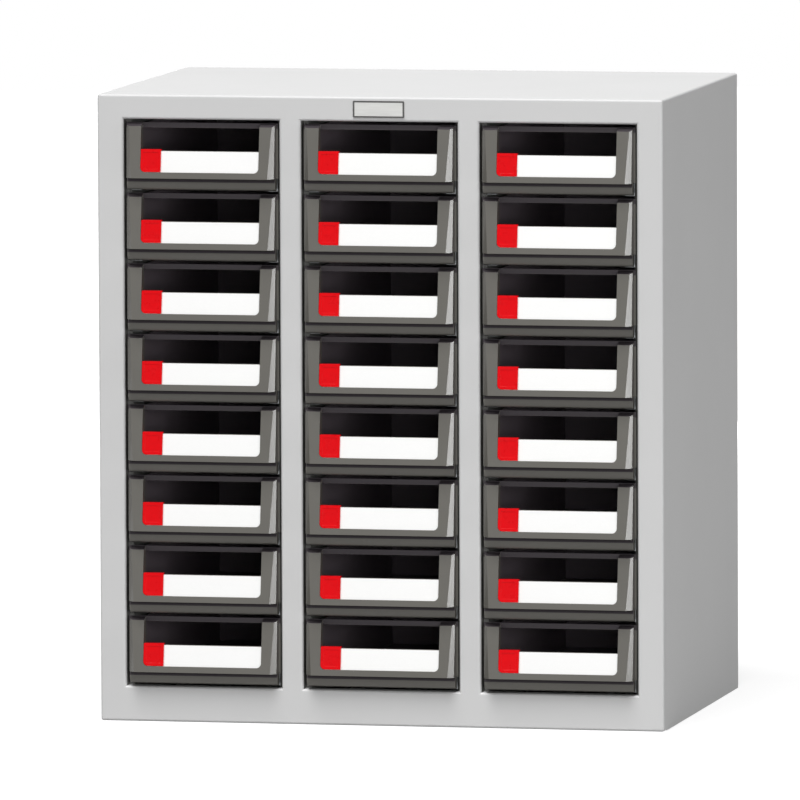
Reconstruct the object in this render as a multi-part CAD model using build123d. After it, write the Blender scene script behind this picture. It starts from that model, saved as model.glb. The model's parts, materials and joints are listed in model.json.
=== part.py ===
from build123d import *
import os

# Parts cabinet of folded sheet steel with columns of pull-out moulded drawers.
# Millimetres. X runs across, +Y runs from the front to the back and +Z is up.
# The origin is the centre of the footprint, on the floor.

# Layout of the front
columns = 3
rows = 8
opening_width = 162.0
row_pitch = 72.0
stile_width = 27.0
mullion_width = 22.5
top_rail = 25.0
bottom_rail = 36.0
cabinet_depth = 400.0

# Sheet metal
sheet = 1.2
back_sheet = 1.0
outer_bend = 2.5
mouth_bend = 3.0
lip_depth = 16.0
rear_flange = 14.0
base_flange = 12.0
channel_step = 5.0
channel_flange = 9.0
channel_end_gap = 3.0

# Runners, one angle on each side of a drawer
runner_sheet = 1.2
runner_leg = 18.0
runner_ledge = 10.0
runner_stop_gap = 0.8
seat_gap = 0.3

# Drawer in its opening
drawer_gap = 3.5
top_gap = 3.5
bottom_gap = 3.0
flange_gap = 2.0
frame_gap = 4.0
body_gap = 3.0
rear_clearance = 14.0

# Drawer moulding
wall = 2.0
front_wall = 2.2
flange_setback = 5.0
flange_thickness = 2.0
tub_drop = 4.5
face_proud_top = 3.0
face_proud_bottom = 11.0
side_draft = 0.04
arm_width = 15.5
chamfer_top = 2.9
chamfer_bottom = 6.2
arm_top_drop = 0.5
arm_top_slope = 3.0
bar_height = 12.5
bar_crown = 2.0
band_height = 6.1
label_height = 21.7
strip_height = 5.2
pocket_depth = 2.4
corner_radius = 5.0
slot_width = 0.7
slot_reach = 1.5

# Label card and its red index rider
card_thickness = 0.4
card_clearance = 0.3
card_top_drop = 1.5
rider_width = 21.0
rider_thickness = 1.1
rider_leaf = 10.0
rider_panel_margin = 3.0
rider_panel_depth = 0.3

# Nameplate on the top rail
plate_width = 53.0
plate_height = 17.0
plate_thickness = 1.0
plate_rim = 1.6
plate_recess = 0.4
plate_corner = 1.0

# Rivets of the back panel
rivet_radius = 1.6
rivet_hole_clearance = 0.05
rivet_head_radius = 3.2
rivet_head_height = 1.1
rivet_tail = 1.5
rivets_up_side = 5
rivets_across = 4

# Sizes that follow from the ones above
overhang = row_pitch
drawer_height = row_pitch - drawer_gap
column_pitch = opening_width + mullion_width
opening_height = rows * row_pitch - drawer_gap + top_gap + bottom_gap
cabinet_width = 2 * stile_width + columns * column_pitch - mullion_width
cabinet_height = bottom_rail + opening_height + top_rail
front_y = -cabinet_depth / 2
back_y = cabinet_depth / 2 - back_sheet
half_width = cabinet_width / 2
channel_half = opening_width / 2 - channel_step
body_half = channel_half - body_gap
flange_half = opening_width / 2 - flange_gap
frame_half = opening_width / 2 - frame_gap
window_half = frame_half - arm_width
tub_height = drawer_height - tub_drop
tub_end = cabinet_depth - back_sheet - rear_clearance
flange_back = flange_setback + flange_thickness
arm_top = drawer_height - arm_top_drop
label_bottom = bar_height + band_height
label_top = label_bottom + label_height
window_top = drawer_height - strip_height
face_slope = (face_proud_bottom - face_proud_top) / (arm_top - arm_top_slope - bar_height)


def block(x0, x1, y0, y1, z0, z1):
    """Box between two corners."""
    return Pos((x0 + x1) / 2, (y0 + y1) / 2, (z0 + z1) / 2) * Box(x1 - x0, y1 - y0, z1 - z0)


def profile_across(points, x0, x1):
    """Outline of (y, z) points drawn out along X."""
    face = make_face(Polyline(*points, close=True))
    return extrude(Plane.YZ.offset(x0) * face, x1 - x0)


def outline_upright(face, y0, y1):
    """Face drawn in (x, z), drawn out along Y."""
    return extrude(Plane.XZ.offset(-y0) * face, -(y1 - y0))


def column_x(column):
    """Centre line of a column, counted from the left."""
    return (column - (columns - 1) / 2) * column_pitch


def row_z(row):
    """Underside of a drawer, counted from the top row."""
    return bottom_rail + bottom_gap + (rows - 1 - row) * row_pitch


def face_y(z):
    """Front of the raised frame at a height, in the drawer's own frame."""
    return -face_proud_bottom + face_slope * (z - bar_height)


def leaning_slab(near, far, x0, x1, z0, z1):
    """Slab that leans with the frame's face, between two depths behind it."""
    points = [(face_y(z0) + near, z0), (face_y(z0) + far, z0),
              (face_y(z1) + far, z1), (face_y(z1) + near, z1)]
    return profile_across(points, x0, x1)


def upright_panel(width, height, radius):
    """Rounded rectangle standing on z = 0, drawn in (x, z)."""
    return Pos(0, height / 2) * RectangleRounded(width, height, radius)


def front_frame():
    """Face of the cabinet: one folded sheet with a lipped opening for each column."""
    pan = outline_upright(upright_panel(cabinet_width, cabinet_height, outer_bend), 0, lip_depth)
    pan = fillet(pan.edges().group_by(Axis.Y)[0], outer_bend)
    inner = Pos(0, sheet) * upright_panel(cabinet_width - 2 * sheet, cabinet_height - 2 * sheet,
                                          outer_bend - sheet)
    hollow = outline_upright(inner, sheet, lip_depth + sheet)
    mouth_z = bottom_rail + opening_height / 2
    for column in range(columns):
        island = Pos(column_x(column), mouth_z) * Rectangle(opening_width + 2 * sheet,
                                                            opening_height + 2 * sheet)
        hollow -= outline_upright(island, 0, lip_depth + 2 * sheet)
    island_edges = hollow.edges().group_by(Axis.Y)[0]
    hollow = fillet(island_edges, outer_bend - sheet)
    pan -= hollow
    for column in range(columns):
        mouth = Pos(column_x(column), mouth_z) * Rectangle(opening_width, opening_height)
        opening = outline_upright(mouth, -overhang, lip_depth + overhang)
        pan -= opening
    mouth_edges = [edge for edge in pan.edges().group_by(Axis.Y)[0]
                   if abs(edge.center().X) < half_width - stile_width / 2
                   and bottom_rail / 2 < edge.center().Z < cabinet_height - top_rail / 2]
    pan = fillet(mouth_edges, mouth_bend)
    return Pos(0, front_y, 0) * pan


def outer_shell():
    """Sides and top in one folded sheet, with a flange round the back."""
    depth = back_y - front_y
    tall = cabinet_height + outer_bend
    outer = Pos(0, -outer_bend) * upright_panel(cabinet_width, tall, outer_bend)
    inner = Pos(0, -outer_bend) * upright_panel(cabinet_width - 2 * sheet, tall - sheet,
                                                outer_bend - sheet)
    window = Pos(0, -rear_flange) * Rectangle(cabinet_width - 2 * sheet - 2 * rear_flange,
                                              2 * cabinet_height - 2 * sheet,
                                              align=(Align.CENTER, Align.CENTER))
    shell = outline_upright(outer, lip_depth, depth)
    shell -= outline_upright(inner, lip_depth - sheet, depth - sheet)
    shell -= outline_upright(window, 0, depth + sheet)
    shell -= block(-half_width, half_width, 0, depth + sheet, -overhang, 0)
    shell -= block(-half_width + sheet, half_width - sheet, depth - 2 * sheet, depth + sheet,
                   0, base_flange + sheet)
    return Pos(0, front_y, 0) * shell


def base_panel():
    """Floor of the cabinet, turned up at its sides and back."""
    half = half_width - sheet
    length = back_y - front_y
    start = lip_depth
    pan = block(-half, half, start, length, 0, sheet)
    for side in (-1, 1):
        edges = sorted((side * half, side * (half - sheet)))
        pan += block(edges[0], edges[1], start + sheet, length - sheet, 0, base_flange)
    pan += block(-half, half, length - sheet, length, 0, base_flange)
    return Pos(0, front_y, 0) * pan


def channel(x_inner, x_outer):
    """Upright sheet beside a column, with a front web and a rear flange."""
    z0 = base_flange + channel_end_gap
    z1 = cabinet_height - sheet - rear_flange - channel_end_gap
    length = back_y - front_y
    side = 1 if x_outer > x_inner else -1
    wall_x = sorted((x_inner, x_inner + side * sheet))
    web_x = sorted((x_inner, x_outer))
    flange_x = sorted((x_inner, x_inner + side * channel_flange))
    sheet_wall = block(wall_x[0], wall_x[1], lip_depth, length, z0, z1)
    web = block(web_x[0], web_x[1], lip_depth, lip_depth + sheet, z0, z1)
    flange = block(flange_x[0], flange_x[1], length - sheet, length, z0, z1)
    return Pos(0, front_y, 0) * (sheet_wall + web + flange)


def side_channel(side):
    """Channel between the outer column and the side of the shell."""
    edge = column_x(0 if side < 0 else columns - 1) + side * channel_half
    return channel(edge, side * (half_width - sheet))


def partition(index):
    """Box section behind a mullion, carrying the runners of both its columns."""
    centre = (column_x(index) + column_x(index + 1)) / 2
    half = column_pitch / 2 - channel_half
    return channel(centre - half, centre) + channel(centre + half, centre)


def runner(side):
    """Angle with a ledge for the drawer and an upturned stop at its back end."""
    start = lip_depth + sheet
    stop = tub_end + runner_stop_gap
    end = stop + runner_sheet
    ledge_top = -seat_gap
    ledge_bottom = ledge_top - runner_sheet
    leg_top = ledge_bottom + runner_leg
    leg_x = sorted((side * channel_half, side * (channel_half - runner_sheet)))
    ledge_x = sorted((side * channel_half, side * (channel_half - runner_ledge)))
    leg = block(leg_x[0], leg_x[1], start, end, ledge_bottom, leg_top)
    ledge = block(ledge_x[0], ledge_x[1], start, end, ledge_bottom, ledge_top)
    tab = block(ledge_x[0], ledge_x[1], stop, end, ledge_bottom, leg_top)
    return leg + ledge + tab


def runners(side):
    """All the runners of one hand."""
    angle = runner(side)
    return Compound([Pos(column_x(column), front_y, row_z(row)) * angle
                     for column in range(columns) for row in range(rows)])


def rivet_places():
    """Centres of the rivets, as (x, z)."""
    side_x = half_width - sheet - rear_flange / 2
    top_z = cabinet_height - sheet - rear_flange / 2
    low_z = base_flange / 2
    places = []
    for step in range(rivets_up_side):
        z = cabinet_height * (step + 0.5) / rivets_up_side
        uprights = [-side_x, side_x]
        for index in range(columns - 1):
            centre = (column_x(index) + column_x(index + 1)) / 2
            inner = column_pitch / 2 - channel_half - channel_flange / 2
            uprights += [centre - inner, centre + inner]
        places += [(x, z) for x in uprights]
    for step in range(rivets_across):
        x = cabinet_width * ((step + 0.5) / rivets_across - 0.5)
        places += [(x, top_z), (x, low_z)]
    return places


def rivet_holes():
    """Drills for the rivets."""
    radius = rivet_radius + rivet_hole_clearance
    drill = Rot(-90, 0, 0) * Cylinder(radius, 4 * (sheet + back_sheet))
    return [Pos(x, back_y, z) * drill for x, z in rivet_places()]


def back_panel():
    """Flat sheet closing the back."""
    face = upright_panel(cabinet_width, cabinet_height, outer_bend)
    return outline_upright(face, back_y, back_y + back_sheet)


def rivet():
    """Domed blind rivet, its head on the plane y = 0 and its shank towards -Y."""
    shank_length = back_sheet + sheet + rivet_tail
    shank = Rot(90, 0, 0) * Cylinder(rivet_radius, shank_length,
                                     align=(Align.CENTER, Align.CENTER, Align.MIN))
    sphere_radius = (rivet_head_radius ** 2 + rivet_head_height ** 2) / (2 * rivet_head_height)
    dome = Pos(0, rivet_head_height - sphere_radius, 0) * Sphere(sphere_radius)
    head = dome & block(-rivet_head_radius * 2, rivet_head_radius * 2, 0, rivet_head_height * 2,
                        -rivet_head_radius * 2, rivet_head_radius * 2)
    return shank + head


def back_rivets():
    """Rivets through the back panel and the flanges behind it."""
    one = rivet()
    return Compound([Pos(x, back_y + back_sheet, z) * one for x, z in rivet_places()])


def nameplate():
    """Blank rimmed plate in the middle of the top rail."""
    z = cabinet_height - top_rail / 2
    outer = Pos(0, z) * RectangleRounded(plate_width, plate_height, plate_corner)
    inner = Pos(0, z) * Rectangle(plate_width - 2 * plate_rim, plate_height - 2 * plate_rim)
    plate = outline_upright(outer, -plate_thickness, 0)
    plate -= outline_upright(inner, -plate_thickness - overhang, -plate_thickness + plate_recess)
    return Pos(0, front_y, 0) * plate


def lower_bar():
    """Bar along the foot of the drawer's front, with a gently crowned face."""
    crown = ThreePointArc((0, bar_height), (-bar_crown, bar_height / 2), (0, 0))
    rest = Polyline((0, 0), (flange_back, 0), (flange_back, bar_height), (0, bar_height))
    face = make_face([crown, rest])
    return extrude(Plane.YZ.offset(-frame_half) * face, 2 * frame_half)


def raised_frame():
    """Block of the drawer's front before it is opened: drafted sides and a leaning face."""
    depth = flange_setback + overhang
    plan = make_face(Polyline((-frame_half, flange_setback), (frame_half, flange_setback),
                              (frame_half - side_draft * depth, -overhang),
                              (-frame_half + side_draft * depth, -overhang), close=True))
    drafted = Pos(0, 0, bar_height) * extrude(plan, arm_top - bar_height)
    side = [(flange_setback, bar_height), (flange_setback, arm_top),
            (-face_proud_top, arm_top - arm_top_slope), (-face_proud_bottom, bar_height)]
    raised = drafted & profile_across(side, -frame_half, frame_half)
    slab = corner_slab()
    return raised - slab - mirror(slab, Plane.YZ)


def corner_slab():
    """What the chamfer takes off the frame's right corner; it widens downwards."""
    low = face_proud_bottom - chamfer_bottom
    high = face_proud_top - chamfer_top
    lean = (high - low) / (arm_top - arm_top_slope - bar_height)
    cut = Plane(origin=(frame_half, -low, bar_height), z_dir=(1, -1, -lean))
    return cut * Box(overhang, 4 * drawer_height, overhang,
                     align=(Align.CENTER, Align.CENTER, Align.MIN))


def rounded_window(z0, z1, half, radius):
    """Window outline in (x, z), with its two lower corners rounded."""
    shape = Pos(0, (z0 + z1) / 2) * Rectangle(2 * half, z1 - z0)
    lower = shape.vertices().group_by(Axis.Y)[0]
    return fillet(lower, radius)


def drawer():
    """Moulded drawer: open tub, flange, raised U-shaped frame, label wall and lower bar."""
    tub = block(-body_half, body_half, flange_setback, tub_end, 0, tub_height)
    flange = block(-flange_half, flange_half, flange_setback, flange_back,
                   bar_height, drawer_height)
    solid = tub + flange + lower_bar() + raised_frame()

    # The finger window and, in front of its top strip, the gap between the arms
    solid -= block(-window_half, window_half, -overhang, flange_back + wall, label_top, window_top)
    solid -= block(-window_half, window_half, -overhang, flange_setback, label_top,
                   drawer_height + overhang)

    # The recess for the label, with rounded lower corners, and the slot that holds the card
    recess = outline_upright(rounded_window(label_bottom, drawer_height, window_half,
                                            corner_radius), -overhang, flange_setback)
    solid -= recess & leaning_slab(-overhang, pocket_depth, -window_half, window_half,
                                   label_bottom, drawer_height)
    slot_half = window_half + slot_reach
    solid -= leaning_slab(pocket_depth - slot_width, pocket_depth, -slot_half, slot_half,
                          label_bottom - slot_reach, label_top)

    # The inside of the tub, carried forward behind the label wall, the bar and the arms
    inside_half = body_half - wall
    solid -= block(-inside_half, inside_half, flange_back, tub_end - wall, wall,
                   tub_height + overhang)
    wall_back = pocket_depth + front_wall
    floor_z = bar_height + front_wall
    behind = [(flange_back, wall), (front_wall, wall),
              (front_wall, floor_z), (face_y(floor_z) + wall_back, floor_z),
              (face_y(label_top) + wall_back, label_top), (flange_back, label_top)]
    solid -= profile_across(behind, -window_half, window_half)
    solid -= block(-inside_half, inside_half, front_wall, flange_back, wall, bar_height)
    arm_inner = window_half + slot_reach + wall
    arm_back = [(flange_back, floor_z), (face_y(floor_z) + wall_back, floor_z),
                (face_y(window_top) + wall_back, window_top), (flange_back, window_top)]
    for side in (-1, 1):
        reach = sorted((side * arm_inner, side * inside_half))
        solid -= profile_across(arm_back, reach[0], reach[1])
    return solid


def label_card():
    """White card in the slot of the label wall."""
    half = window_half + slot_reach - card_clearance
    return leaning_slab(pocket_depth - card_thickness, pocket_depth, -half, half,
                        label_bottom - slot_reach + card_clearance, label_top - card_top_drop)


def index_rider():
    """Red clip over the top edge of the label wall, at the left end of the card."""
    left = -window_half + card_clearance
    right = left + rider_width
    near = pocket_depth - slot_width - card_clearance - rider_thickness
    far = pocket_depth + front_wall + card_clearance + rider_thickness
    low = label_bottom + card_clearance
    seat = label_top + card_clearance
    high = seat + rider_thickness
    front = leaning_slab(near, near + rider_thickness, left, right, low, high)
    corners = front.edges().filter_by(Axis.Y).sort_by(Axis.X)
    lower_left = corners[:2].sort_by(Axis.Z)[0]
    front = fillet(lower_left, corner_radius - card_clearance)
    bridge = leaning_slab(near, far, left, right, seat, high)
    leaf = leaning_slab(far - rider_thickness, far, left, right, high - rider_leaf, high)
    panel = leaning_slab(near - wall, near + rider_panel_depth, left + rider_panel_margin,
                         right - rider_panel_margin, low + rider_panel_margin,
                         high - rider_panel_margin)
    return front + bridge + leaf - panel


def place(solid, column, row):
    """Solid moved from the drawer's own frame to its column and row."""
    return Pos(column_x(column), front_y, row_z(row)) * solid


def nodes():
    """Every node of the cabinet by name."""
    holes = rivet_holes()
    parts = {
        "front_frame": front_frame(),
        "outer_shell": outer_shell() - holes,
        "base_panel": base_panel() - holes,
        "back_panel": back_panel() - holes,
        "side_channel_left": side_channel(-1),
        "side_channel_right": side_channel(1),
        "runners_left_hand": runners(-1),
        "runners_right_hand": runners(1),
        "back_rivets": back_rivets(),
        "nameplate": nameplate(),
    }
    for index in range(columns - 1):
        parts["partition_" + str(index + 1)] = partition(index) - holes
    box = drawer()
    label = Compound([label_card(), index_rider()])
    for column in range(columns):
        letter = chr(ord("a") + column)
        for row in range(rows):
            name = letter + str(row + 1)
            parts["drawer_" + name] = place(box, column, row)
            parts["label_" + name] = place(label, column, row)
    return parts


os.makedirs("parts", exist_ok=True)
for name, shape in nodes().items():
    export_step(shape, "parts/" + name + ".step")
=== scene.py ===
"""Finishes, floor, light and camera for a sheet-steel parts cabinet with moulded drawers."""

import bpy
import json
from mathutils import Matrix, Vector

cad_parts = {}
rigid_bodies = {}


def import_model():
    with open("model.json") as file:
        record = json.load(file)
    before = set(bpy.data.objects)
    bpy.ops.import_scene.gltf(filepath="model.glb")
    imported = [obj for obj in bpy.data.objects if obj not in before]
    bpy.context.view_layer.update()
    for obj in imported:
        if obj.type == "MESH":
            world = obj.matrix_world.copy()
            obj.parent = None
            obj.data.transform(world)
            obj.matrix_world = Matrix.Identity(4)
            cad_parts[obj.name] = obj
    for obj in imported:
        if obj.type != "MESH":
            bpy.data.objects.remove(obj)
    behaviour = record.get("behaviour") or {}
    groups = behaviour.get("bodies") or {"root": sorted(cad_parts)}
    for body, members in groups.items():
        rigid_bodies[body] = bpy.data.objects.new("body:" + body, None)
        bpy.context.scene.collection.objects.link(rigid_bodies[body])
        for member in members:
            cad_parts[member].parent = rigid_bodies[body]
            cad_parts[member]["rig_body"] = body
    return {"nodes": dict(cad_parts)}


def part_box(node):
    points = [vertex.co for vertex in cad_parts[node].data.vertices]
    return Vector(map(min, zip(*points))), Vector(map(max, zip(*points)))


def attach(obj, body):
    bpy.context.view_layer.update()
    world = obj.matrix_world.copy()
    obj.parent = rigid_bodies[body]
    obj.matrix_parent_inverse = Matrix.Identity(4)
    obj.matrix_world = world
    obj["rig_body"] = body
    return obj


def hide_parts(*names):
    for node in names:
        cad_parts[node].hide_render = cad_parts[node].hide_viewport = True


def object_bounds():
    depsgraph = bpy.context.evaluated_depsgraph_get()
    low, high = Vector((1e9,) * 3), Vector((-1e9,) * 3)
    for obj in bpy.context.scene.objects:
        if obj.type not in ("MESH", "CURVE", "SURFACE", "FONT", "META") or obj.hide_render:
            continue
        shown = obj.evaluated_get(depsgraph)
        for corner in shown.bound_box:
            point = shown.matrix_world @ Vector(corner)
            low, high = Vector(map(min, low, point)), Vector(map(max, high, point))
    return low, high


bl_info = {
    "name": "Drawer Tool Cabinet",
    "version": (1, 0, 0),
    "blender": (4, 5, 0),
    "location": "View3D > Sidebar > Cabinet",
    "description": "Dresses a powder-coated parts cabinet and its moulded drawers",
    "category": "Object",
}

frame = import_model()
cad_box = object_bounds()

import json
import math

import bmesh
import bpy
from bpy.props import FloatProperty, FloatVectorProperty, PointerProperty
from mathutils import Matrix, Vector

MM = 0.001

# Camera fitted to six corners of the cabinet: degrees, millimetres of lens, then metres
CAMERA_YAW = 12.19
CAMERA_PITCH = 5.33
CAMERA_ROLL = -0.25
CAMERA_LENS = 622.35
CAMERA_DISTANCE = 14.209
CAMERA_TARGET = (-0.0224, 0.0, 0.3137)
CAMERA_REACH = 100.0

# The floor takes the shadow inside the near radius and is white past the far one, in metres
FLOOR_NEAR = 1.0
FLOOR_FAR = 2.5
FLOOR_SIDES = 96
FLOOR_GLOW = 0.8
FLOOR_GREY = "#959595"
WHITE = "#FFFFFF"

# Joining the loose triangles of a CAD mesh, and the angles that count as edges, in degrees
JOIN_DISTANCE = 0.001 * MM
FLAT_ANGLE = 0.5
EDGE_ANGLE = 25.0
SMOOTH_ANGLE = 32.0
EDGE_SEGMENTS = 2

# How much of a face's unit normal lies along an axis, from square to it down to aside
SQUARE = 0.999
NEARLY_SQUARE = 0.99
TOWARDS = 0.9
MOSTLY = 0.8
HALF_TURNED = 0.5
ASIDE = 0.1

# Inward folds of the openings, which get the painted shade coat: how far in from the frame's
# outline, and how deep they start
RETURN_MARGIN = 12 * MM
RETURN_DEPTH = 4 * MM

# A drawer's front: its depth, and the share of its chamfers' normals sideways and forward
FRONT_DEPTH = 19 * MM
CHAMFER_SIDEWAYS = (0.5, 0.87)
CHAMFER_FORWARD = 0.45

# The bar under a drawer's window: the crown that is rounded, the share of the depth that
# its top half gets, and the heights of the painted shade along its top and foot
BAR_CROWN = 2.1 * MM
BAR_TOP_SHARE = 0.68
BAR_TOP_SHADE = 4.1 * MM
BAR_FOOT_SHADE = 2.7 * MM

# Depths between which the card's slot lies behind the drawer's face
SLOT_DEPTHS = (0.9 * MM, 3.2 * MM)

# The nameplate's sunk face lies this far in from its ends and behind its rim, or further
PLATE_MARGIN = 1.0 * MM
PLATE_STEP = 0.1 * MM

# The index clip's rounded edges, and the depths between which its panel lies before it sinks
CLIP_EDGE = 0.12 * MM
PANEL_DEPTHS = (0.1 * MM, 1.0 * MM)

# Widths of the patterns that aren't settings. Real turning marks and brush lines are too
# fine to show, so they are drawn this coarse
COAT_CLOUD = 180 * MM
MOULD_FLOW = 40 * MM
CARD_FIBRE = 1.4 * MM
CLIP_RIPPLE = 6 * MM
TURNING_MARK = 0.8 * MM
BRUSH_LINE = 0.6 * MM
ENAMEL_PEEL = 1.5 * MM

# Most of a pattern's values lie between these
NOISE_LOW = 0.3
NOISE_HIGH = 0.7

OUTER_STEEL = ("front_frame", "outer_shell", "base_panel", "back_panel")
INNER_STEEL = ("side_channel_left", "side_channel_right", "partition_1", "partition_2")
DRAWERS = sorted(name.removeprefix("drawer_") for name in frame["nodes"]
                 if name.startswith("drawer_"))


def linear(hex_colour):
    """An sRGB hex colour such as #CACACA as linear red, green and blue."""
    channels = [int(hex_colour[i:i + 2], 16) / 255 for i in (1, 3, 5)]
    return tuple(c / 12.92 if c <= 0.04045 else ((c + 0.055) / 1.055) ** 2.4
                 for c in channels)


def colour(name, description, hex_colour):
    """A colour property with an sRGB hex default."""
    return FloatVectorProperty(name=name, description=description, subtype="COLOR", size=3,
                               min=0.0, max=1.0, default=linear(hex_colour))


def length(name, description, millimetres):
    """A length property with a default in millimetres."""
    return FloatProperty(name=name, description=description, subtype="DISTANCE", unit="LENGTH",
                         min=0.0, default=millimetres * MM)


class CabinetFinish(bpy.types.PropertyGroup):
    """Colours and grain of the cabinet's finishes, and the small shapes that finish it."""

    coat: colour("Powder coat", "Light grey of the sheet steel", "#D0D0D0")
    # A darker grey painted as shade inside the folds and on the inner steel, not a thinner coat
    coat_painted_shade: colour("Painted shade coat", "Darker grey where little powder reaches", "#6C6C6A")
    coat_grain: length("Powder grain", "Width of the coat's orange peel", 2.2)
    plastic: colour("Drawer plastic", "Dark warm grey of the drawers", "#605E59")
    # A real spark grain is finer, and is drawn this coarse to show
    plastic_grain: length("Spark grain", "Width of the mould's spark texture", 0.9)
    # Paler and cooler than the drawer plastic, painted as light inside the window
    inside: colour("Drawer inside", "Grey of the drawers' inner walls", "#776D74")
    # Near black painted as shade on the rim above each window and along the bar, not a black
    # plastic
    rim: colour("Rim plastic", "Near black of the rim and of the bar's lines", "#322D31")
    moulded_edge: length("Moulded edge", "Radius of the drawers' edges", 0.4)
    bar_depth: length("Bar depth", "How far the bar under each window is rounded", 5.0)
    card_rise: length("Card rise", "How far a card's top is moved up its wall", 1.2)
    panel_depth: length("Clip panel depth", "How deep a clip's panel is sunk", 0.7)
    card: colour("Card", "White of the label cards", "#F7F7F6")
    clip: colour("Clip", "Red of the index clips", "#DC000C")
    clip_panel: colour("Clip panel", "Deeper red of a clip's sunk panel", "#C2000C")
    zinc: colour("Zinc", "Grey of the galvanised runners", "#B4B7B9")
    zinc_spangle: length("Spangle", "Width of a zinc crystal", 7.0)
    aluminium: colour("Aluminium", "Grey of the rivets", "#DCDCDA")
    plate_face: colour("Plate face", "Grey of the nameplate's brushed face", "#C0C0BE")
    plate_rim: colour("Plate rim", "Dark enamel round the nameplate", "#4C4B4A")


class CabinetStage(bpy.types.PropertyGroup):
    """Sizes and strengths of the floor and the lights."""

    floor_radius: length("Floor radius", "Radius of the pale floor", 9000.0)
    ambient: FloatProperty(name="Ambient", description="Strength of the light all round",
                           default=0.06, min=0.0)
    key_power: FloatProperty(name="Key light", description="Power of the softbox high in front",
                             default=4900.0, min=0.0, unit="POWER")
    fill_power: FloatProperty(name="Fill light", description="Power of the low front softbox",
                              default=116.0, min=0.0, unit="POWER")
    side_power: FloatProperty(name="Side light", description="Power of the right strip light",
                              default=9.0, min=0.0, unit="POWER")
    back_power: FloatProperty(name="Back light", description="Power of the low softbox behind",
                              default=42.0, min=0.0, unit="POWER")


def finish():
    """The scene's finish settings."""
    return bpy.context.scene.cabinet_finish


def rgba(rgb, factor=1.0):
    """A colour with alpha, made lighter or darker by a factor."""
    return tuple(min(1.0, channel * factor) for channel in rgb) + (1.0,)


# Materials

def add(tree, kind, settings=None, inputs=None):
    """One node with its settings; an input is a value or the socket that feeds it."""
    node = tree.nodes.new(kind)
    for name, value in (settings or {}).items():
        setattr(node, name, value)
    for key, value in (inputs or {}).items():
        if isinstance(value, bpy.types.NodeSocket):
            tree.links.new(value, node.inputs[key])
        else:
            node.inputs[key].default_value = value
    return node


def new_material(name):
    """A node material, its tree and its Object coordinates."""
    material = bpy.data.materials.new(name)
    material.use_nodes = True
    tree = material.node_tree
    tree.nodes.clear()
    place = add(tree, "ShaderNodeTexCoord").outputs["Object"]
    return material, tree, place


def pattern(tree, place, width, detail=2.0, stretch=(1.0, 1.0, 1.0)):
    """Noise whose features are about as wide as given, in metres."""
    mapped = add(tree, "ShaderNodeMapping", {}, {"Vector": place, "Scale": stretch})
    return add(tree, "ShaderNodeTexNoise", {},
               {"Vector": mapped.outputs[0], "Scale": 1.0 / width, "Detail": detail}).outputs[0]


def surface(tree, tone, pair, grain, roughness, plain, relief=None):
    """Ends a material: one pattern picks its shade, another its roughness and its relief.

    The pair is two shades, plain holds the shader's own values, and relief is the bump's
    strength and its height in metres.
    """
    ramp = add(tree, "ShaderNodeValToRGB", {}, {"Fac": tone})
    first, last = ramp.color_ramp.elements
    first.position, first.color = NOISE_LOW, pair[0]
    last.position, last.color = NOISE_HIGH, pair[1]
    rough = add(tree, "ShaderNodeMapRange", {},
                {"Value": grain, "From Min": NOISE_LOW, "From Max": NOISE_HIGH,
                 "To Min": roughness[0], "To Max": roughness[1]})
    inputs = {"Base Color": ramp.outputs[0], "Roughness": rough.outputs[0]}
    if relief:
        strength, height = relief
        bump = add(tree, "ShaderNodeBump", {},
                   {"Height": grain, "Strength": strength, "Distance": height})
        inputs["Normal"] = bump.outputs[0]
    shader = add(tree, "ShaderNodeBsdfPrincipled", {}, {**inputs, **plain})
    add(tree, "ShaderNodeOutputMaterial", {}, {"Surface": shader.outputs[0]})


def shades(rgb, darker, lighter=1.0):
    """Two shades of a colour, by their factors."""
    return rgba(rgb, darker), rgba(rgb, lighter)


def powder_coat():
    """Polyester powder coat, semi-matt: a faint orange peel and an even light grey."""
    return coated_steel("powder_coat_light_grey", finish().coat)


def painted_shade_coat():
    """Painted shade: the same coat made darker inside the openings' folds and on the inner steel,
    where shade falls.
    """
    return coated_steel("powder_coat_painted_shade", finish().coat_painted_shade)


def coated_steel(name, tint):
    """Powder-coated sheet of a grey."""
    material, tree, place = new_material(name)
    cloud = pattern(tree, place, COAT_CLOUD)
    grain = pattern(tree, place, finish().coat_grain)
    surface(tree, cloud, shades(tint, 0.985, 1.015), grain, roughness=(0.5, 0.6),
            plain={"IOR": 1.5, "Specular IOR Level": 0.3}, relief=(0.25, 0.04 * MM))
    return material


def drawer_plastic():
    """Injection-moulded ABS with a spark-eroded grain: dark warm grey, satin."""
    return moulded_abs("abs_dark_grey_spark_texture", finish().plastic,
                       roughness=(0.3, 0.4), specular=0.35, relief=0.35)


def polished_plastic():
    """The same ABS where the mould is polished, on the front's chamfers: it takes a glint."""
    return moulded_abs("abs_dark_grey_polished", finish().plastic,
                       roughness=(0.12, 0.17), specular=0.5, relief=0.04)


def painted_light_plastic():
    """Painted light on the drawer's inner walls: the same matt ABS made paler and cooler, standing
    in for the light that reaches inside through the window.
    """
    return moulded_abs("abs_dark_grey_painted_light", finish().inside,
                       roughness=(0.4, 0.5), specular=0.35, relief=0.15)


def painted_shade_plastic():
    """Matt near-black painted shade on the rim above the window and along the bar's top and foot,
    where the drawer above and the frame's overhang cast shade.
    """
    return moulded_abs("abs_painted_shade", finish().rim,
                       roughness=(0.5, 0.6), specular=0.3, relief=0.35)


def moulded_abs(name, tint, roughness, specular, relief):
    """ABS of a colour, with a roughness range, a specular level and a strength of grain."""
    material, tree, place = new_material(name)
    flow = pattern(tree, place, MOULD_FLOW, stretch=(0.4, 1.0, 1.0))
    grain = pattern(tree, place, finish().plastic_grain, detail=3.0)
    surface(tree, flow, shades(tint, 0.96, 1.04), grain, roughness,
            plain={"IOR": 1.53, "Specular IOR Level": specular}, relief=(relief, 0.05 * MM))
    return material


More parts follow.
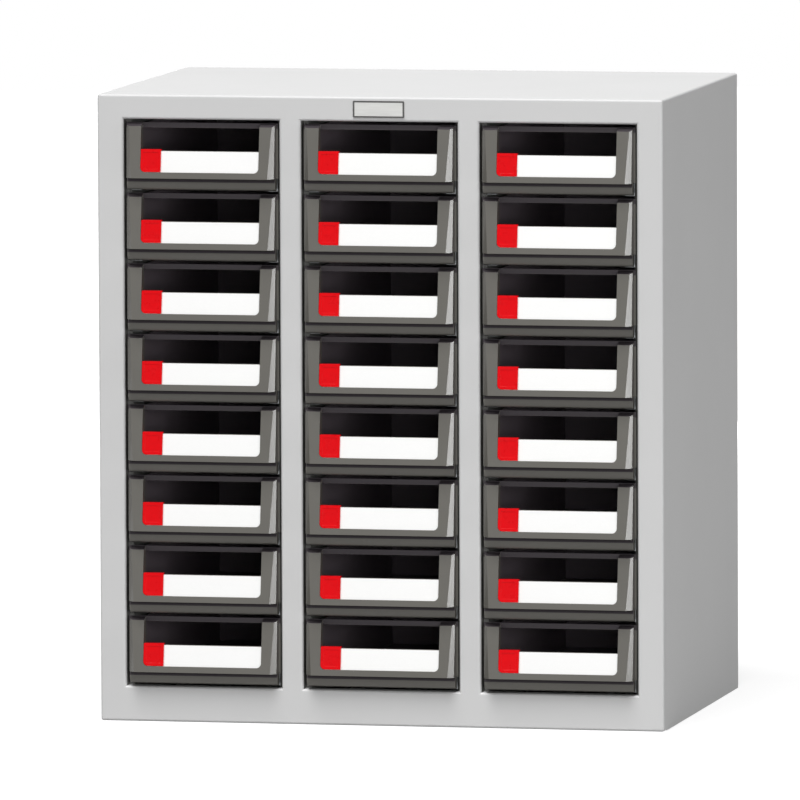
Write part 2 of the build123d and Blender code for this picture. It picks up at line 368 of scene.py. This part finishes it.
def card_stock():
    """Uncoated white card: matt, with a faint fibre."""
    material, tree, place = new_material("card_stock_white")
    fibre = pattern(tree, place, CARD_FIBRE, detail=4.0, stretch=(0.5, 1.0, 1.0))
    surface(tree, fibre, shades(finish().card, 0.985), fibre, roughness=(0.82, 0.9),
            plain={"IOR": 1.45}, relief=(0.15, 0.03 * MM))
    return material


def clip_plastic():
    """Polished polystyrene clip: strong red with a glossy face."""
    return red_polystyrene("polystyrene_red_gloss", finish().clip, roughness=(0.26, 0.34))


def clip_panel_plastic():
    """The clip's sunk panel, matt from an etched mould: a deeper red."""
    return red_polystyrene("polystyrene_red_etched", finish().clip_panel, roughness=(0.5, 0.6))


def red_polystyrene(name, tint, roughness):
    """Polystyrene of a red, with a roughness range."""
    material, tree, place = new_material(name)
    ripple = pattern(tree, place, CLIP_RIPPLE)
    surface(tree, ripple, shades(tint, 0.93), ripple, roughness,
            plain={"IOR": 1.49, "Specular IOR Level": 0.2}, relief=(0.2, 0.05 * MM))
    return material


def galvanised():
    """Hot-dip galvanised sheet: grey zinc with a crystal spangle."""
    material, tree, place = new_material("galvanised_steel")
    crystal = add(tree, "ShaderNodeTexVoronoi", {},
                  {"Vector": place, "Scale": 1.0 / finish().zinc_spangle}).outputs["Color"]
    tone = add(tree, "ShaderNodeRGBToBW", {}, {"Color": crystal}).outputs[0]
    surface(tree, tone, shades(finish().zinc, 0.85, 1.1), tone, roughness=(0.34, 0.5),
            plain={"Metallic": 1.0})
    return material


def drawn_aluminium():
    """Plain aluminium rivet heads: bright, with fine turning marks."""
    material, tree, place = new_material("aluminium_drawn")
    mark = pattern(tree, place, TURNING_MARK, stretch=(1.0, 1.0, 3.0))
    surface(tree, mark, shades(finish().aluminium, 0.92), mark, roughness=(0.3, 0.42),
            plain={"Metallic": 1.0})
    return material


def brushed_plate():
    """Brushed aluminium face of the nameplate: fine lines along its length."""
    material, tree, place = new_material("aluminium_brushed")
    line = pattern(tree, place, BRUSH_LINE, stretch=(0.03, 1.0, 1.0))
    surface(tree, line, shades(finish().plate_face, 0.92), line, roughness=(0.32, 0.45),
            plain={"Metallic": 1.0}, relief=(0.3, 0.02 * MM))
    return material


def rim_enamel():
    """Dark baked enamel round the nameplate: smooth and half gloss."""
    material, tree, place = new_material("enamel_dark_grey")
    peel = pattern(tree, place, ENAMEL_PEEL)
    surface(tree, peel, shades(finish().plate_rim, 0.95, 1.05), peel, roughness=(0.3, 0.38),
            plain={"IOR": 1.5})
    return material


def dress(piece, *materials):
    """Gives a new piece its materials, in the order of its faces' material numbers."""
    for material in materials:
        piece.data.materials.append(material)


def dress_node(node_name, material):
    """Puts a material in every slot of a CAD node."""
    for slot in frame["nodes"][node_name].material_slots:
        slot.material = material


# Meshes

def joined_mesh(node_name):
    """The CAD node's shape as a bmesh with joined vertices and whole flat faces."""
    bm = bmesh.new()
    bm.from_mesh(frame["nodes"][node_name].data)
    bmesh.ops.remove_doubles(bm, verts=bm.verts, dist=JOIN_DISTANCE)
    bmesh.ops.dissolve_limit(bm, angle_limit=math.radians(FLAT_ANGLE), verts=bm.verts,
                             edges=bm.edges, use_dissolve_boundaries=False)
    return bm


def new_piece(name, bm):
    """An object at the origin that holds the bmesh, smooth up to its creases."""
    mesh = bpy.data.meshes.new(name)
    bm.to_mesh(mesh)
    bm.free()
    if "custom_normal" in mesh.attributes:
        mesh.attributes.remove(mesh.attributes["custom_normal"])
    mesh.shade_smooth()
    mesh.set_sharp_from_angle(angle=math.radians(SMOOTH_ANGLE))
    piece = bpy.data.objects.new(name, mesh)
    bpy.context.scene.collection.objects.link(piece)
    return piece


def seat(piece, node_name):
    """The piece stands for the node, on the node's body, and the node is hidden."""
    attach(piece, frame["nodes"][node_name]["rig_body"])
    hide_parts(node_name)


def weigh_normals(piece):
    """Keeps the large faces flat where they run into a bend."""
    modifier = piece.modifiers.new("flat_faces", "WEIGHTED_NORMAL")
    modifier.keep_sharp = True


def islands(bm):
    """The separate shells of a bmesh, each a list of its vertices."""
    left = set(bm.verts)
    found = []
    while left:
        seed = left.pop()
        island, frontier = [seed], [seed]
        while frontier:
            vert = frontier.pop()
            near = {e.other_vert(vert) for e in vert.link_edges} & left
            left -= near
            island += near
            frontier += near
        found.append(island)
    return found


def keep_island(bm, widest):
    """Keeps only the widest or the narrowest shell, measured along X."""
    shells = sorted(islands(bm), key=lambda verts: max(v.co.x for v in verts)
                    - min(v.co.x for v in verts))
    kept = set(shells[-1] if widest else shells[0])
    bmesh.ops.delete(bm, geom=[v for v in bm.verts if v not in kept], context="VERTS")


def round_edges(bm, edges, radius):
    """Rounds edges with a small bevel."""
    bmesh.ops.bevel(bm, geom=edges, offset=radius, offset_type="OFFSET", affect="EDGES",
                    segments=EDGE_SEGMENTS, profile=0.5, material=-1, clamp_overlap=True)


def creased(edge):
    """True where two faces meet at a clear angle."""
    return edge.is_manifold and edge.calc_face_angle() > math.radians(EDGE_ANGLE)


# Operators

class CABINET_OT_sheet_steel(bpy.types.Operator):
    """Coats the folded sheet-steel pieces"""

    bl_idname = "cabinet.sheet_steel"
    bl_label = "Sheet steel"

    def execute(self, context):
        coat, shaded_coat = powder_coat(), painted_shade_coat()
        for name in OUTER_STEEL + INNER_STEEL:
            bm = joined_mesh(name)
            number_returns(bm)
            piece = new_piece("steel_" + name, bm)
            weigh_normals(piece)
            # Painted shade: the inner steel takes the darker coat all over, the outer steel only
            # on its folds
            dress(piece, *((shaded_coat, shaded_coat) if name in INNER_STEEL else (coat, shaded_coat)))
            seat(piece, name)
        return {"FINISHED"}


def number_returns(bm):
    """Material 1, the painted shade coat, on the folds at the sides and tops of the openings, past
    the bend.
    """
    low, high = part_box("front_frame")
    for face in bm.faces:
        centre = face.calc_center_median()
        within = all(low[i] + RETURN_MARGIN < centre[i] < high[i] - RETURN_MARGIN for i in (0, 2))
        behind = centre.y > low.y + RETURN_DEPTH
        if within and behind and abs(face.normal.y) < ASIDE and face.normal.z < HALF_TURNED:
            face.material_index = 1


class CABINET_OT_runners(bpy.types.Operator):
    """Galvanises the runners and finishes the rivets"""

    bl_idname = "cabinet.runners"
    bl_label = "Runners and rivets"

    def execute(self, context):
        zinc = galvanised()
        dress_node("runners_left_hand", zinc)
        dress_node("runners_right_hand", zinc)
        dress_node("back_rivets", drawn_aluminium())
        return {"FINISHED"}


class CABINET_OT_nameplate(bpy.types.Operator):
    """Finishes the bare nameplate: a dark rim and a brushed face"""

    bl_idname = "cabinet.nameplate"
    bl_label = "Nameplate"

    def execute(self, context):
        bm = joined_mesh("nameplate")
        front = min(v.co.y for v in bm.verts)
        low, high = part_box("nameplate")
        for face in bm.faces:
            centre = face.calc_center_median()
            sunk = face.normal.y < -TOWARDS and centre.y > front + PLATE_STEP
            inside = low.x + PLATE_MARGIN < centre.x < high.x - PLATE_MARGIN
            face.material_index = 1 if sunk and inside else 0
        piece = new_piece("nameplate_bare", bm)
        dress(piece, rim_enamel(), brushed_plate())
        seat(piece, "nameplate")
        return {"FINISHED"}


class CABINET_OT_drawers(bpy.types.Operator):
    """Moulds the drawers, with rounded edges, in dark grey plastic"""

    bl_idname = "cabinet.drawers"
    bl_label = "Drawers"

    def execute(self, context):
        finishes = drawer_plastic(), polished_plastic(), painted_shade_plastic(), painted_light_plastic()
        for name in DRAWERS:
            node = "drawer_" + name
            bm = joined_mesh(node)
            round_bar(bm)
            number_finishes(bm)
            round_edges(bm, drawer_edges(bm), finish().moulded_edge)
            piece = new_piece("drawer_moulding_" + name, bm)
            weigh_normals(piece)
            dress(piece, *finishes)
            seat(piece, node)
        return {"FINISHED"}


def foremost_face(bm):
    """The face round the window, which leans out furthest."""
    foremost = min(bm.verts, key=lambda vert: vert.co.y)
    return min(foremost.link_faces, key=lambda face: face.normal.y)


def round_bar(bm):
    """Rounds the bar under the window from a flat crown to half an ellipse."""
    foot = min(vert.co.z for vert in foremost_face(bm).verts)
    base = min(vert.co.z for vert in bm.verts)
    front = min(vert.co.y for vert in bm.verts if vert.co.z < foot - MM)
    middle, half = (foot + base) / 2, (foot - base) / 2
    for vert in bm.verts:
        ahead = vert.co.y - front
        if vert.co.z < foot + JOIN_DISTANCE and -JOIN_DISTANCE < ahead < BAR_CROWN:
            across = min(1.0, abs(vert.co.z - middle) / half)
            depth = finish().bar_depth * (BAR_TOP_SHARE if vert.co.z > middle else 1.0)
            vert.co.y = front + depth * (1.0 - math.sqrt(1.0 - across * across))


def faces_the_inside(face, bm):
    """True for the walls and the floor that the drawer's contents see."""
    low = Vector(min(vert.co[i] for vert in bm.verts) for i in range(3))
    high = Vector(max(vert.co[i] for vert in bm.verts) for i in range(3))
    middle = (low + high) / 2
    centre = face.calc_center_median()
    on_front = centre.y < low.y + FRONT_DEPTH - MM
    on_brim = face.normal.z > HALF_TURNED and centre.z > middle.z
    if on_front or on_brim:
        return False
    return (middle - centre).dot(face.normal) > 0


def number_finishes(bm):
    """Material 1 on the chamfers, 2 as painted shade on the rim and the bar's top and foot, 3 as
    painted light inside, 0 elsewhere.
    """
    foot = min(vert.co.z for vert in foremost_face(bm).verts)
    base = min(vert.co.z for vert in bm.verts)
    front_end = min(vert.co.y for vert in bm.verts) + FRONT_DEPTH
    window_top = max(face.calc_center_median().z for face in bm.faces
                     if face.normal.z < -NEARLY_SQUARE and face.calc_center_median().y < front_end)
    plate = [face for face in bm.faces if face.normal.y < -SQUARE
             and face.calc_center_median().y < front_end]
    edges = {edge for face in plate for edge in face.edges}
    verts = {vert for face in plate for vert in face.verts}
    bmesh.ops.bisect_plane(bm, geom=plate + list(edges) + list(verts),
                           plane_co=(0, 0, window_top), plane_no=(0, 0, 1))
    least, most = CHAMFER_SIDEWAYS
    for face in bm.faces:
        centre, normal = face.calc_center_median(), face.normal
        if least < abs(normal.x) < most and normal.y < -CHAMFER_FORWARD:
            face.material_index = 1
        # Painted shade: the rim above the window and the bar's top and foot get the near-black
        # material
        elif centre.z > window_top and centre.y < front_end:
            if normal.z > MOSTLY or normal.y < -SQUARE:
                face.material_index = 2
        elif centre.z < foot and centre.y < front_end and normal.y < -MOSTLY:
            if centre.z > foot - BAR_TOP_SHADE or centre.z < base + BAR_FOOT_SHADE:
                face.material_index = 2
        # Painted light: the inner walls and floor get the paler inside material
        elif faces_the_inside(face, bm):
            face.material_index = 3


def drawer_edges(bm):
    """The drawer's creased edges, apart from those of the narrow slot that holds the card."""
    face = foremost_face(bm)
    chosen = []
    for edge in filter(creased, bm.edges):
        middle = (edge.verts[0].co + edge.verts[1].co) / 2
        behind = (face.verts[0].co - middle).dot(face.normal)
        if not SLOT_DEPTHS[0] < behind < SLOT_DEPTHS[1]:
            chosen.append(edge)
    return chosen


class CABINET_OT_labels(bpy.types.Operator):
    """Makes each drawer's white card and red index clip"""

    bl_idname = "cabinet.labels"
    bl_label = "Cards and clips"

    def execute(self, context):
        stock, red, deep_red = card_stock(), clip_plastic(), clip_panel_plastic()
        for name in DRAWERS:
            node = "label_" + name
            card = joined_mesh(node)
            keep_island(card, widest=True)
            raise_top(card, finish().card_rise)
            card_piece = new_piece("label_card_" + name, card)
            dress(card_piece, stock)
            seat(card_piece, node)
            clip = joined_mesh(node)
            keep_island(clip, widest=False)
            sink_panel(clip, finish().panel_depth)
            round_edges(clip, list(filter(creased, clip.edges)), CLIP_EDGE)
            clip_piece = new_piece("index_clip_" + name, clip)
            weigh_normals(clip_piece)
            dress(clip_piece, red, deep_red)
            seat(clip_piece, node)
        return {"FINISHED"}


def raise_top(bm, rise):
    """Moves the topmost vertices further up."""
    top = max(vert.co.z for vert in bm.verts)
    bmesh.ops.translate(bm, verts=[v for v in bm.verts if v.co.z > top - rise], vec=(0, 0, rise))


def sink_panel(bm, depth):
    """Sinks the square panel on the clip's face to a given depth, with material 1 on it."""
    forward = [face for face in bm.faces if face.normal.y < -TOWARDS]
    outer = max(forward, key=lambda face: face.calc_area())
    least, most = PANEL_DEPTHS
    for face in forward:
        sunk = (outer.verts[0].co - face.verts[0].co).dot(outer.normal)
        if face is not outer and least < sunk < most:
            bmesh.ops.translate(bm, verts=face.verts, vec=-outer.normal * (depth - sunk))
            face.material_index = 1


# Stage

def white_for_lenses(tree, plain, white):
    """White where the camera, a reflection or a refraction looks, and plain light elsewhere."""
    path = add(tree, "ShaderNodeLightPath")
    seen = add(tree, "ShaderNodeMath", {"operation": "MAXIMUM"},
               {0: path.outputs["Is Camera Ray"], 1: path.outputs["Is Glossy Ray"]})
    seen = add(tree, "ShaderNodeMath", {"operation": "MAXIMUM"},
               {0: seen.outputs[0], 1: path.outputs["Is Transmission Ray"]})
    return add(tree, "ShaderNodeMixShader", {},
               {0: seen.outputs[0], 1: plain, 2: white}).outputs[0]


def light_world(ambient):
    """Even grey light all round, on a white background."""
    world = bpy.data.worlds.new("white_studio")
    world.use_nodes = True
    tree = world.node_tree
    tree.nodes.clear()
    colourless = rgba(linear(WHITE))
    plain = add(tree, "ShaderNodeBackground", {}, {"Color": colourless, "Strength": ambient})
    white = add(tree, "ShaderNodeBackground", {}, {"Color": colourless, "Strength": 1.0})
    mixed = white_for_lenses(tree, plain.outputs[0], white.outputs[0])
    add(tree, "ShaderNodeOutputWorld", {}, {"Surface": mixed})
    bpy.context.scene.world = world


def lay_floor(radius):
    """A pale floor that reads as white and keeps a soft shadow."""
    bm = bmesh.new()
    bmesh.ops.create_circle(bm, cap_ends=True, radius=radius, segments=FLOOR_SIDES)
    floor = new_piece("floor", bm)
    material, tree, place = new_material("paper_sweep_white")
    plain = add(tree, "ShaderNodeBsdfDiffuse", {}, {"Color": rgba(linear(FLOOR_GREY))})
    away = add(tree, "ShaderNodeVectorMath", {"operation": "LENGTH"}, {0: place})
    strength = add(tree, "ShaderNodeMapRange", {},
                   {"Value": away.outputs["Value"], "From Min": FLOOR_NEAR,
                    "From Max": FLOOR_FAR, "To Min": FLOOR_GLOW, "To Max": 1.0})
    glow = add(tree, "ShaderNodeEmission", {},
               {"Color": rgba(linear(WHITE)), "Strength": strength.outputs[0]})
    white = add(tree, "ShaderNodeAddShader", {}, {0: plain.outputs[0], 1: glow.outputs[0]})
    mixed = white_for_lenses(tree, plain.outputs[0], white.outputs[0])
    add(tree, "ShaderNodeOutputMaterial", {}, {"Surface": mixed})
    dress(floor, material)


def softbox(name, azimuth, elevation, distance, width, height, power):
    """An area light that looks at the cabinet's middle, in metres, degrees and watts.

    Azimuth 0 is in front of the cabinet and 90 is to its right.
    """
    light = bpy.data.lights.new(name, "AREA")
    light.shape = "RECTANGLE"
    light.size = width
    light.size_y = height
    light.energy = power
    lamp = bpy.data.objects.new(name, light)
    bpy.context.scene.collection.objects.link(lamp)
    turn, rise = math.radians(azimuth), math.radians(elevation)
    away = Vector((math.sin(turn) * math.cos(rise), -math.cos(turn) * math.cos(rise),
                   math.sin(rise)))
    middle = (cad_box[0] + cad_box[1]) / 2
    lamp.location = middle + away * distance
    lamp.rotation_mode = "QUATERNION"
    lamp.rotation_quaternion = away.to_track_quat("Z", "Y")


def aim_camera():
    """The camera stands to the right and a little above, far off behind a long lens."""
    data = bpy.data.cameras.new("camera")
    data.lens = CAMERA_LENS
    data.clip_end = CAMERA_REACH
    camera = bpy.data.objects.new("camera", data)
    bpy.context.scene.collection.objects.link(camera)
    yaw, pitch, roll = (math.radians(a) for a in (CAMERA_YAW, CAMERA_PITCH, CAMERA_ROLL))
    ahead = Vector((-math.sin(yaw) * math.cos(pitch), math.cos(yaw) * math.cos(pitch),
                    -math.sin(pitch)))
    level = Vector((math.cos(yaw), math.sin(yaw), 0))
    upright = level.cross(ahead)
    right = math.cos(roll) * level + math.sin(roll) * upright
    up = math.cos(roll) * upright - math.sin(roll) * level
    place = Vector(CAMERA_TARGET) - ahead * CAMERA_DISTANCE
    turned = Matrix((right, up, -ahead)).transposed().to_4x4()
    camera.matrix_world = Matrix.Translation(place) @ turned
    bpy.context.scene.camera = camera


class CABINET_OT_stage(bpy.types.Operator):
    """Lays the floor, sets the lights and aims the camera"""

    bl_idname = "cabinet.stage"
    bl_label = "Stage"

    def execute(self, context):
        stage = context.scene.cabinet_stage
        light_world(stage.ambient)
        lay_floor(stage.floor_radius)
        softbox("key_softbox", azimuth=-15, elevation=68, distance=20.0,
                width=10.0, height=8.0, power=stage.key_power)
        softbox("fill_softbox", azimuth=27, elevation=4, distance=6.0,
                width=3.3, height=1.2, power=stage.fill_power)
        softbox("side_strip", azimuth=75.5, elevation=2, distance=4.1,
                width=0.25, height=0.9, power=stage.side_power)
        softbox("back_softbox", azimuth=200, elevation=0, distance=3.0,
                width=2.4, height=0.55, power=stage.back_power)
        aim_camera()
        context.scene.view_settings.view_transform = "Standard"
        return {"FINISHED"}


class CABINET_PT_panel(bpy.types.Panel):
    """The cabinet's steps and settings in the sidebar"""

    bl_label = "Cabinet"
    bl_idname = "CABINET_PT_panel"
    bl_space_type = "VIEW_3D"
    bl_region_type = "UI"
    bl_category = "Cabinet"

    def draw(self, context):
        for operator in OPERATORS:
            self.layout.operator(operator.bl_idname)
        for group in (context.scene.cabinet_finish, context.scene.cabinet_stage):
            for name in group.__annotations__:
                self.layout.prop(group, name)


OPERATORS = (CABINET_OT_sheet_steel, CABINET_OT_runners, CABINET_OT_nameplate,
             CABINET_OT_drawers, CABINET_OT_labels, CABINET_OT_stage)
CLASSES = (CabinetFinish, CabinetStage) + OPERATORS + (CABINET_PT_panel,)


def register():
    """Adds the settings, the operators and the panel."""
    for cls in CLASSES:
        bpy.utils.register_class(cls)
    bpy.types.Scene.cabinet_finish = PointerProperty(type=CabinetFinish)
    bpy.types.Scene.cabinet_stage = PointerProperty(type=CabinetStage)


def unregister():
    """Takes them away again."""
    del bpy.types.Scene.cabinet_stage
    del bpy.types.Scene.cabinet_finish
    for cls in reversed(CLASSES):
        bpy.utils.unregister_class(cls)


def main():
    """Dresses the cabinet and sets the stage."""
    register()
    bpy.ops.cabinet.sheet_steel()
    bpy.ops.cabinet.runners()
    bpy.ops.cabinet.nameplate()
    bpy.ops.cabinet.drawers()
    bpy.ops.cabinet.labels()
    bpy.ops.cabinet.stage()


if __name__ == "__main__":
    main()
